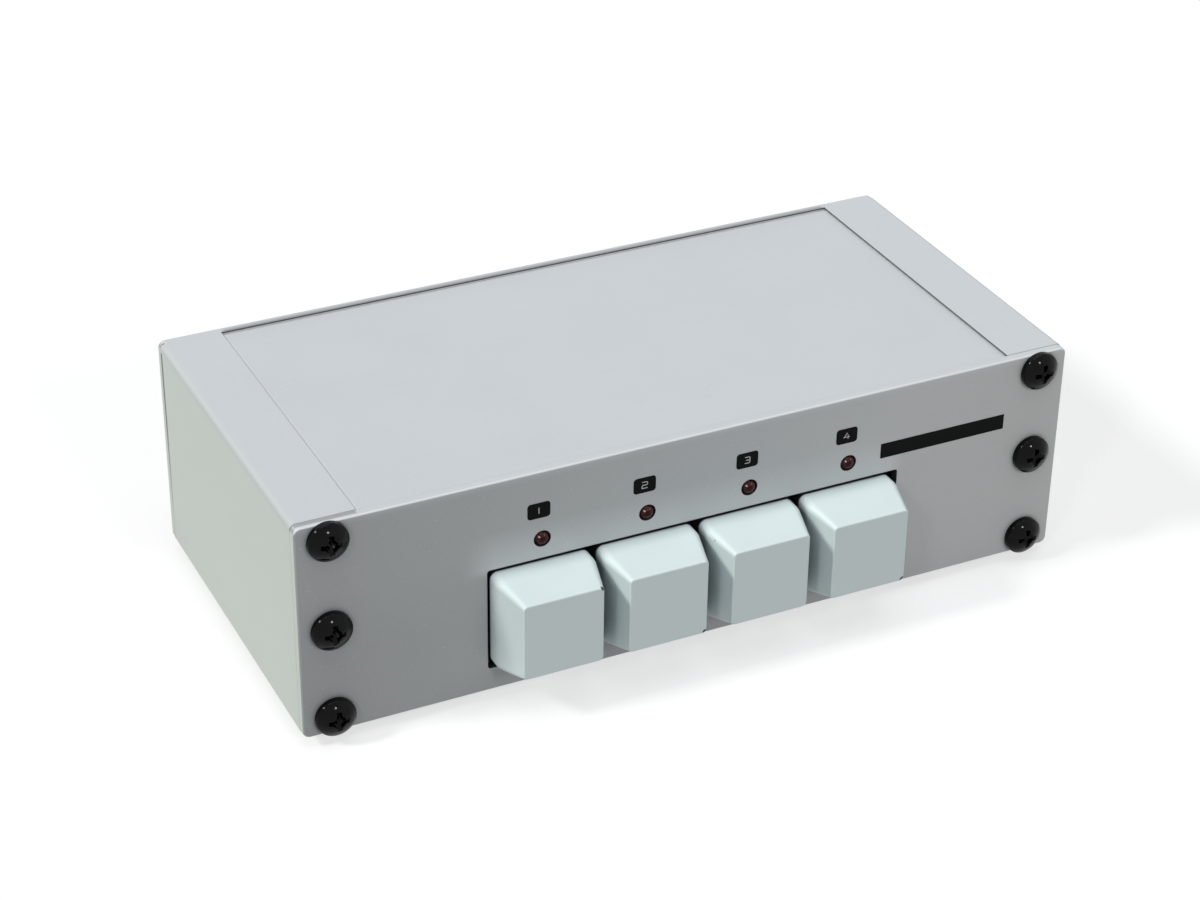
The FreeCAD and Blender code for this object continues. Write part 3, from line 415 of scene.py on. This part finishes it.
def near(tree, point, radius, roughly):
    """One within about radius of a point, with a torn edge, and zero beyond."""
    place = tree.nodes.new("ShaderNodeTexCoord")
    distance = tree.nodes.new("ShaderNodeVectorMath")
    distance.operation = "DISTANCE"
    distance.inputs[1].default_value = point
    tree.links.new(place.outputs["Object"], distance.inputs[0])
    torn = tree.nodes.new("ShaderNodeMath")
    torn.operation = "ADD"
    tree.links.new(distance.outputs["Value"], torn.inputs[0])
    tree.links.new(spread(tree, roughly, 0.2, 0.8, -0.5 * radius, 0.5 * radius), torn.inputs[1])
    return spread(tree, torn.outputs["Value"], 1.1 * radius, 0.9 * radius, 0, 1)


def crevices(tree, reach):
    """How open a place is: one in the open, and toward zero in narrow gaps within reach of it."""
    node = tree.nodes.new("ShaderNodeAmbientOcclusion")
    node.samples = 12
    node.inputs["Distance"].default_value = reach
    return node.outputs["AO"]


def sprayed_cap(name, chips):
    """The gloss coat, painted black in the slot as shade, with chips given as pairs of a point and a
    radius.
    """
    finish, tree, shader = new_finish(name, coat_colour, 0, 0.34)
    cloud = grain(tree, 7 * mm, (1, 1, 1), 2)
    peel = grain(tree, 0.7 * mm, (1, 1, 1), 2)
    torn = grain(tree, 0.3 * mm, (1, 1, 1), 3)
    base = lit_by(tree, coat_colour, cloud, 0.008)
    # painted shade: darker deep in the gaps between the caps
    thin = spread(tree, crevices(tree, gap_reach), 0.12, 0.43, 0.78, 0)
    base = between(tree, thin, base, gap_shade_colour)
    for point, radius in chips:
        base = between(tree, near(tree, point, radius, torn), base, base_colour)
    # painted shade: the cap turns black from the panel face inward, for the shade in the slot
    bare = spread(tree, place_on(tree, "Y"), *slot_shade_ends, 0, 1)
    base = between(tree, bare, base, base_colour)
    tree.links.new(base, shader.inputs["Base Color"])
    tree.links.new(spread(tree, cloud, 0.3, 0.7, 0.30, 0.38), shader.inputs["Roughness"])
    tree.links.new(raised(tree, peel, 0.003 * mm, eased(tree, 0.12 * mm)), shader.inputs["Normal"])
    return finish


face_half = 8.3 * mm
face_rise = 0.35 * mm
cap_chips = {
    1: [((face_half, 0, face_half), 0.55 * mm)],
    2: [((face_half, 0, -face_half), 0.80 * mm)],
    3: [((-9.9 * mm, 5.7 * mm, 8.6 * mm), 0.17 * mm), ((-8.5 * mm, 1 * mm, 8.4 * mm), 0.12 * mm)],
    4: [((face_half, 0, -face_half), 0.75 * mm)],
}
for number in range(1, 5):
    cap_low, cap_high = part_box("keycap_" + str(number))
    cap_middle = (cap_low + cap_high) / 2
    face_middle = Vector((cap_middle.x, cap_low.y, cap_middle.z + face_rise))
    chips = [(face_middle + Vector(offset), radius) for offset, radius in cap_chips[number]]
    dress(["keycap_" + str(number)], sprayed_cap("cap_coat_" + str(number), chips))

# The lamps. Four small unlit lamps stand in round holes over the keys, on a narrow board with a resistor
# for each and a ribbon cable down to the main board. Their lenses are cast in clear deep red plastic,
# through which the cup and the wires inside show. Two highlights and a dark rim of shade from the hole
# are painted on each lens.

dress(["lamp_resistors"], moulded("resistor_black", (0.03, 0.03, 0.03), 0.4, 0.001 * mm, 0.05 * mm))
dress(["lamp_ribbon_cable"], moulded("ribbon_grey", (0.42, 0.43, 0.44), 0.5, 0.004 * mm, 0.1 * mm))

cup_dark_colour = (0.034, 0.006, 0.007)
cup_pale_colour = (0.071, 0.020, 0.020)
core_place = (-0.25 * mm, 0.2 * mm)
core_edge = (0.85 * mm, 0.4 * mm)
core_colour = (0.024, 0.0005, 0.001)
# painted highlights: two bright spots on each lens
highlight_edge = (0.22 * mm, 0.11 * mm)
spots = [
    ((-0.78 * mm, 0.69 * mm), (0.62, 0.42, 0.40)),
    ((0.30 * mm, 0.95 * mm), (0.22, 0.09, 0.08)),
]
rim_shade_edge = (1.42 * mm, 1.56 * mm)
rim_shade_colour = (0.012, 0.005, 0.005)


def away(tree, middle, across, up):
    """How far a point of a lens is from a place beside its middle, seen along its axis."""
    apart = tree.nodes.new("ShaderNodeVectorMath")
    apart.operation = "SUBTRACT"
    apart.inputs[1].default_value = middle + Vector((across, 0, up))
    tree.links.new(tree.nodes.new("ShaderNodeTexCoord").outputs["Object"], apart.inputs[0])
    flat = tree.nodes.new("ShaderNodeVectorMath")
    flat.operation = "MULTIPLY"
    flat.inputs[1].default_value = (1, 0, 1)
    tree.links.new(apart.outputs["Vector"], flat.inputs[0])
    length = tree.nodes.new("ShaderNodeVectorMath")
    length.operation = "LENGTH"
    tree.links.new(flat.outputs["Vector"], length.inputs[0])
    return length.outputs["Value"]


def red_lens(name, middle):
    """Red plastic over the cup, whose middle is dark, with two painted highlights and a painted shade
    rim.
    """
    finish, tree, shader = new_finish(name, (0.10, 0.015, 0.02), 0, 0.06)
    shader.inputs["Specular IOR Level"].default_value = 0.12
    haze = grain(tree, 0.4 * mm, (1, 1, 1), 2)
    base = between(tree, spread(tree, haze, 0.3, 0.7, 0, 1), cup_dark_colour, cup_pale_colour)
    core = spread(tree, away(tree, middle, *core_place), *core_edge, 0, 1)
    base = between(tree, core, base, core_colour)
    for highlight_place, highlight_colour in spots:
        highlight = spread(tree, away(tree, middle, *highlight_place), *highlight_edge, 0, 1)
        base = between(tree, highlight, base, highlight_colour)
    # painted shade: a dark rim where the hole shades the lens
    base = between(tree, spread(tree, away(tree, middle, 0, 0), *rim_shade_edge, 0, 1), base, rim_shade_colour)
    tree.links.new(base, shader.inputs["Base Color"])
    return finish


lamp_middles = []
for number in range(1, 5):
    lamp_low, lamp_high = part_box("indicator_lamp_" + str(number))
    lamp_middles.append((lamp_low + lamp_high) / 2)
    dress(["indicator_lamp_" + str(number)], red_lens("red_lens_" + str(number), lamp_middles[-1]))

# The front panel. A flat aluminium plate, brushed along its length and anodised like the case, with the
# slot for the key caps and four lamp holes. A black number badge is screen printed over each lamp. Light
# and shade are painted into its colour: darker at the left and lower left and paler to the right, a
# paler band and a highlight along the top edge, shade round the screws and in the holes, the pale light
# that the caps throw over the slot, and a shadow on the top at the left.

panel_colour = (0.451, 0.472, 0.481)
shaded_left_colour = (0.369, 0.382, 0.384)
lit_right_colour = (0.504, 0.516, 0.516)
edge_highlight_colour = (0.66, 0.68, 0.69)
hole_shade_colour = (0.02, 0.021, 0.022)
hole_shade_reach = 2 * mm
edge_width = 0.5 * mm
slot_clearance = 1 * mm
reflected_colour = (0.562, 0.589, 0.601)
reflected_height = 8 * mm
step_shade_colour = (0.345, 0.36, 0.37)
panel_low, panel_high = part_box("front_panel")
top_sheen_band = (panel_high.z - 1.6 * mm, panel_high.z - 0.4 * mm)
step_shade_band = (panel_high.y - 1.15 * mm, panel_high.y - 0.95 * mm)


def within(tree, value, rise, fall):
    """One from the end of rise to the start of fall and zero outside both, each a pair of places."""
    return times(tree, spread(tree, value, *rise, 0, 1), spread(tree, value, *fall, 1, 0))


def panel_skin(name, own_marks):
    """The finish of both panels, with what own_marks adds on top for one of them."""
    finish, tree, shader = new_finish(name, panel_colour, 0.2, 0.6)
    facing = turned(tree, "Y")
    level = turned(tree, "Z")
    upright = turned(tree, "X")
    across = place_on(tree, "X")
    height = place_on(tree, "Z")
    # painted shade and light: darker at the left and toward the bottom on the left, paler to the right
    left_shade = spread(tree, across, 0.9 * panel_low.x, 0.1 * panel_high.x, 1, 0)
    low = spread(tree, height, 0.7 * panel_high.z, 0.4 * panel_high.z, 0, 0.09)
    far = spread(tree, across, 0.15 * panel_high.x, 0.6 * panel_high.x, 0, 1)
    base = between(tree, left_shade, panel_colour, shaded_left_colour)
    base = between(tree, far, base, lit_right_colour)
    base = between(tree, times(tree, left_shade, low), base, (0, 0, 0))
    # painted highlight: a paler band on the face just below the top edge
    paler = spread(tree, height, *top_sheen_band, 0, 0.3)
    base = between(tree, times(tree, paler, spread(tree, facing, 0.9, 1, 0, 1)), base, case_colour)
    # the top faces take the case's top tone, and the side faces take the painted side light tone
    base = between(tree, spread(tree, level, 0.6, 0.8, 0, 1), base, case_colour)
    base = between(tree, spread(tree, upright, 0.93, 0.99, 0, 1), base, side_light_colour)
    # painted highlight: the rounded top edge is painted pale
    top_edge_highlight = times(tree, spread(tree, level, 0.1, 0.4, 0, 1), spread(tree, facing, 0.1, 0.35, 0, 1))
    base = between(tree, top_edge_highlight, base, edge_highlight_colour)
    # painted shade: darker round the screws, and near black on the walls of the holes and the slot
    shaded = spread(tree, crevices(tree, hole_shade_reach), 0.5, 0.8, 0.4, 0)
    base = between(tree, shaded, base, hole_shade_colour)
    hole_wall_shade = spread(tree, facing, 0.5, 0.3, 0, 1)
    for place, low_edge, high_edge in (
            (across, panel_low.x, panel_high.x), (height, panel_low.z, panel_high.z)):
        inside = within(
            tree, place, (low_edge + edge_width, low_edge + 2 * edge_width),
            (high_edge - 2 * edge_width, high_edge - edge_width))
        hole_wall_shade = times(tree, hole_wall_shade, inside)
    base = between(tree, hole_wall_shade, base, hole_shade_colour)
    base = own_marks(tree, base, across, height)
    return satin_aluminium(finish, tree, shader, base, (25, 1, 1))


def front_marks(tree, base, across, height):
    """The painted light that the caps throw on the face over the slot, and a painted shadow on the top at
    the left.
    """
    caps_left, caps_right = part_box("keycap_1")[0].x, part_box("keycap_4")[1].x
    slot_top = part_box("keycap_1")[1].z + slot_clearance
    lit = times(
        tree,
        within(tree, height, (slot_top - 2 * mm, slot_top), (slot_top, slot_top + reflected_height)),
        within(tree, across, (caps_left - 6 * mm, caps_left + 1 * mm), (caps_right, caps_right + 3 * mm)),
        spread(tree, turned(tree, "Y"), 0.9, 1, 0, 1))
    base = between(tree, lit, base, reflected_colour)
    flange_ends = panel_low.x + flange_width
    # painted shadow: a dark band on the top at the left, in front of the flange
    step_shade = times(
        tree,
        spread(tree, across, flange_ends, flange_ends - 0.3 * mm, 0, 1),
        spread(tree, place_on(tree, "Y"), *step_shade_band, 0, 1),
        spread(tree, turned(tree, "Z"), 0.7, 0.9, 0, 1))
    return between(tree, step_shade, base, step_shade_colour)


dress(["front_panel"], panel_skin("front_panel_aluminium", front_marks))


def printing_ink(name, colour):
    """Screen printed ink: a thin, slightly glossy layer with tiny pinholes."""
    finish, tree, shader = new_finish(name, colour, 0, 0.4)
    shader.inputs["Specular IOR Level"].default_value = 0.05
    pinholes = grain(tree, 0.12 * mm, (1, 1, 1), 2)
    tree.links.new(lit_by(tree, colour, pinholes, 0.15), shader.inputs["Base Color"])
    tree.links.new(spread(tree, pinholes, 0.3, 0.7, 0.3, 0.5), shader.inputs["Roughness"])
    return finish


black_ink = printing_ink("black_ink", (0.003, 0.0033, 0.0033))
white_ink = printing_ink("white_ink", (0.60, 0.61, 0.61))
ink_thickness = 0.03 * mm


def round_corners(width, height, radius):
    """The outline of a rectangle with round corners, about its middle."""
    outline = []
    for quarter, (side_x, side_z) in enumerate(((1, 1), (-1, 1), (-1, -1), (1, -1))):
        for step in range(7):
            angle = math.radians(90 * quarter + 15 * step)
            outline.append((
                side_x * (width / 2 - radius) + radius * math.cos(angle),
                side_z * (height / 2 - radius) + radius * math.sin(angle),
            ))
    return outline


def stroke(points, width):
    """The outline of a pen stroke of a given width along a bent line."""
    left, right = [], []
    for index, point in enumerate(points):
        here = Vector(point)
        before = (here - Vector(points[index - 1])).normalized() if index > 0 else None
        after = (Vector(points[index + 1]) - here).normalized() if index < len(points) - 1 else None
        along = ((before or after) + (after or before)).normalized()
        side = Vector((-along.y, along.x))
        reach = width / 2 / max(0.5, along.dot(after or before))
        left.append(tuple(here + side * reach))
        right.append(tuple(here - side * reach))
    return left + right[::-1]


def printed(name, outlines, place, outward, layer, ink, mirrored=False):
    """Outlines printed on a panel at place, outward being -1 on the front and 1 on the rear."""
    mesh = bmesh.new()
    low = place.y + outward * layer * ink_thickness
    high = low + outward * ink_thickness
    for outline in outlines:
        corners = [(-x if mirrored else x, z) for x, z in outline]
        rings = [
            [mesh.verts.new((place.x + x, y, place.z + z)) for x, z in corners] for y in (low, high)
        ]
        mesh.faces.new(rings[0])
        mesh.faces.new(rings[1][::-1])
        for index in range(len(corners)):
            following = (index + 1) % len(corners)
            mesh.faces.new([
                rings[0][index], rings[1][index], rings[1][following], rings[0][following]])
    bmesh.ops.recalc_face_normals(mesh, faces=mesh.faces)
    data = bpy.data.meshes.new(name)
    mesh.to_mesh(data)
    mesh.free()
    data.materials.append(ink)
    piece = bpy.data.objects.new(name, data)
    bpy.context.scene.collection.objects.link(piece)
    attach(piece, "case")


badge_width, badge_height, badge_radius = 4.82 * mm, 3.45 * mm, 0.7 * mm
digit_stroke = 0.155 * mm
digit_size = 0.8 * mm
digit_strokes = {
    1: [[(0, -0.85), (0, 0.85)]],
    2: [[(-0.75, 0.85), (0.5, 0.85), (0.75, 0.62), (0.75, 0.2), (0.5, 0), (-0.5, 0), (-0.75, -0.2),
         (-0.75, -0.85), (0.78, -0.85)]],
    3: [[(-0.7, 0.85), (0.45, 0.85), (0.7, 0.62), (0.7, -0.62), (0.45, -0.85), (-0.7, -0.85)],
        [(-0.35, 0), (0.54, 0)]],
    4: [[(0.1, 0.85), (-0.8, -0.32), (0.8, -0.32)], [(0.35, 0.3), (0.35, -0.16)],
        [(0.35, -0.48), (0.35, -0.85)]],
}


def number_badge(name, number, place, outward, mirrored=False):
    """A black badge with a white digit on it, which is mirrored on the rear to read right from there."""
    field = round_corners(badge_width, badge_height, badge_radius)
    printed(name + "_badge", [field], place, outward, 0, black_ink)
    outlines = [
        stroke([(digit_size * x, digit_size * z) for x, z in line], digit_stroke)
        for line in digit_strokes[number]]
    printed(name + "_digit", outlines, place, outward, 1, white_ink, mirrored)


badge_shift = -0.73 * mm
badge_rise = 6.5 * mm
for number, middle in enumerate(lamp_middles, start=1):
    place = Vector((middle.x + badge_shift, panel_low.y, middle.z + badge_rise))
    number_badge("front_number_" + str(number), number, place, -1)

# The bar. A plain black bar stands on the right half of the front panel, between the last badge and
# the screws. It is screen printed in the same ink as the badges.

bar_width, bar_height, bar_radius = 29.2 * mm, 3.4 * mm, 0.1 * mm
bar_x, bar_z = 55.6 * mm, 35.55 * mm
bar_outline = round_corners(bar_width, bar_height, bar_radius)
printed("front_bar", [bar_outline], Vector((bar_x, panel_low.y, bar_z)), -1, 0, black_ink)

# The rear panel. The same plate, with round holes for the sockets and the inlet, and with the four input
# columns numbered like the keys. Its top is painted darker toward the groove in front of it as shade,
# and on the side that faces the groove a painted bright line lies under a painted dark line of shade.

rear_badge_rise = 3.3 * mm
groove_shade_colour = (0.27, 0.28, 0.285)
shade_line_colour = (0.06, 0.062, 0.063)
rear_low, rear_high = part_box("rear_panel")


def rear_marks(tree, base, across, height):
    """Painted shade on the top toward the groove, and a painted bright line under a painted dark one
    facing it.
    """
    depth = place_on(tree, "Y")
    facing = turned(tree, "Y")
    # painted shade: the top darkens toward the groove
    cover_ends = rear_high.x - flange_width
    groove_shade = times(
        tree,
        spread(tree, depth, rear_high.y - 0.4 * mm, rear_low.y, 0, 1),
        spread(tree, without_sign(tree, across), cover_ends, cover_ends - mm, 0, 1),
        spread(tree, turned(tree, "Z"), 0.7, 0.9, 0, 1))
    base = between(tree, groove_shade, base, groove_shade_colour)
    top = rear_high.z
    # painted light: a bright line low on the strip that faces the groove
    light_line = times(
        tree,
        within(tree, height, (top - 0.9 * mm, top - 0.8 * mm), (top - 0.47 * mm, top - 0.42 * mm)),
        spread(tree, depth, rear_low.y + 0.2 * mm, rear_low.y + 0.1 * mm, 0, 1),
        spread(tree, facing, 0.8, 0.9, 0, 1))
    base = between(tree, light_line, base, bright_grain_and_highlight)
    # painted shade: a dark line above it, for the shade of the gap
    shade_line = times(
        tree,
        within(tree, height, (top - 0.42 * mm, top - 0.38 * mm), (top - 0.14 * mm, top - 0.08 * mm)),
        spread(tree, depth, rear_low.y + 0.55 * mm, rear_low.y + 0.45 * mm, 0, 1))
    return between(tree, shade_line, base, shade_line_colour)


dress(["rear_panel"], panel_skin("rear_panel_aluminium", rear_marks))
for number in range(1, 5):
    barrel_low, barrel_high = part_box("input_" + str(number) + "_barrels")
    place = Vector(((barrel_low.x + barrel_high.x) / 2, rear_high.y, barrel_high.z + rear_badge_rise))
    number_badge("rear_number_" + str(number), number, place, 1, mirrored=True)

# The panel screws. Twelve pan head screws of blackened steel hold both panels. They are waxed to a
# deep gloss, and the rear ones are sunk in the plate.


def black_oxide(name):
    """Blackened steel with a smeared wax, worn to grey in spots on its edges."""
    finish, tree, shader = new_finish(name, (0.002, 0.002, 0.002), 0, 0.09)
    shader.inputs["Specular IOR Level"].default_value = 0.115
    smear = grain(tree, 1.2 * mm, (1, 1, 1), 3)
    base = between(tree, smear, (0.0004, 0.0005, 0.0005), (0.0024, 0.0026, 0.0026))
    worn = times(tree, edges(tree, 0.1 * mm), spread(tree, grain(tree, 0.4 * mm), 0.5, 0.75, 0, 0.3))
    tree.links.new(between(tree, worn, base, (0.10, 0.10, 0.10)), shader.inputs["Base Color"])
    tree.links.new(spread(tree, smear, 0.3, 0.7, 0.05, 0.09), shader.inputs["Roughness"])
    tree.links.new(raised(tree, smear, 0.004 * mm, eased(tree, 0.2 * mm)), shader.inputs["Normal"])
    return finish


dress(["front_panel_screws", "rear_panel_screws"], black_oxide("black_oxide"))

# The studio: a pale floor under a pale sky. The main light comes from the upper left, a broad one from
# above, a faint broad one from the right and two small ones from the front. The camera stands to the
# left of the front and looks down.

floor_reach = 6
floor_grey = 0.4
floor_brightness = 1.03
floor_mesh = bmesh.new()
bmesh.ops.create_grid(floor_mesh, x_segments=1, y_segments=1, size=floor_reach)
floor_data = bpy.data.meshes.new("floor")
floor_mesh.to_mesh(floor_data)
floor_mesh.free()
floor = bpy.data.objects.new("floor", floor_data)
bpy.context.scene.collection.objects.link(floor)


def seen_directly(tree):
    """One for what the camera sees itself or in a gloss, and zero for the soft light on the object."""
    path = tree.nodes.new("ShaderNodeLightPath")
    seen = path.outputs["Is Camera Ray"]
    for kind in ("Is Glossy Ray", "Is Transmission Ray"):
        either = tree.nodes.new("ShaderNodeMath")
        either.operation = "MAXIMUM"
        tree.links.new(seen, either.inputs[0])
        tree.links.new(path.outputs[kind], either.inputs[1])
        seen = either.outputs["Value"]
    return seen


floor_finish, floor_tree, floor_shader = new_finish("floor_paper", (floor_grey,) * 3, 0, 0.9)
floor_shader.inputs["Specular IOR Level"].default_value = 0
floor_shader.inputs["Emission Color"].default_value = (1, 1, 1, 1)
floor_tree.links.new(
    spread(floor_tree, seen_directly(floor_tree), 0, 1, 0, floor_brightness - floor_grey),
    floor_shader.inputs["Emission Strength"])
floor_finish.cycles.emission_sampling = "NONE"
floor_data.materials.append(floor_finish)

sky_strength = 0.12
world = bpy.data.worlds.new("sky")
bpy.context.scene.world = world
world.use_nodes = True
world.cycles.sampling_method = "NONE"
sky = world.node_tree.nodes["Background"]
sky.inputs["Color"].default_value = (1, 1, 1, 1)
world.node_tree.links.new(
    spread(world.node_tree, seen_directly(world.node_tree), 0, 1, sky_strength, 1),
    sky.inputs["Strength"])


def sun(name, toward, share, width, colour=(1, 1, 1)):
    """A far lamp, width degrees wide, that lights a face turned to it by a share of full white."""
    data = bpy.data.lights.new(name, "SUN")
    data.energy = math.pi * share
    data.angle = math.radians(width)
    data.color = colour
    lamp = bpy.data.objects.new(name, data)
    bpy.context.scene.collection.objects.link(lamp)
    lamp.location = Vector(toward).normalized()
    lamp.rotation_mode = "QUATERNION"
    lamp.rotation_quaternion = (-Vector(toward)).to_track_quat("-Z", "Y")


sun("left_light", (-0.73, 0.05, 0.68), 0.56, 10, (0.96, 1, 0.93))
sun("top_light", (0, -0.12, 0.99), 0.33, 50, (0.955, 0.97, 1.03))
sun("right_light", (0.75, -0.6, 0.2), 0.06, 70)
sun("right_front_light", (0.12, -0.86, 0.49), 0.162, 7)
sun("left_front_light", (-0.64, -0.52, 0.55), 0.12, 7)

camera_place = Vector((-224.13 * mm, -452.72 * mm, 326.28 * mm))
azimuth = math.radians(26.03)
elevation = math.radians(30.81)
roll = math.radians(0.77)
scene = bpy.context.scene
camera_data = bpy.data.cameras.new("camera")
camera_data.sensor_width = 36
camera_data.lens = 84.63
camera = bpy.data.objects.new("camera", camera_data)
scene.collection.objects.link(camera)
turn = Matrix.Rotation(-azimuth, 4, "Z") @ Matrix.Rotation(math.pi / 2 - elevation, 4, "X")
turn = turn @ Matrix.Rotation(roll, 4, "Z")
camera.matrix_world = Matrix.Translation(camera_place) @ turn
scene.camera = camera
scene.view_settings.view_transform = "Standard"
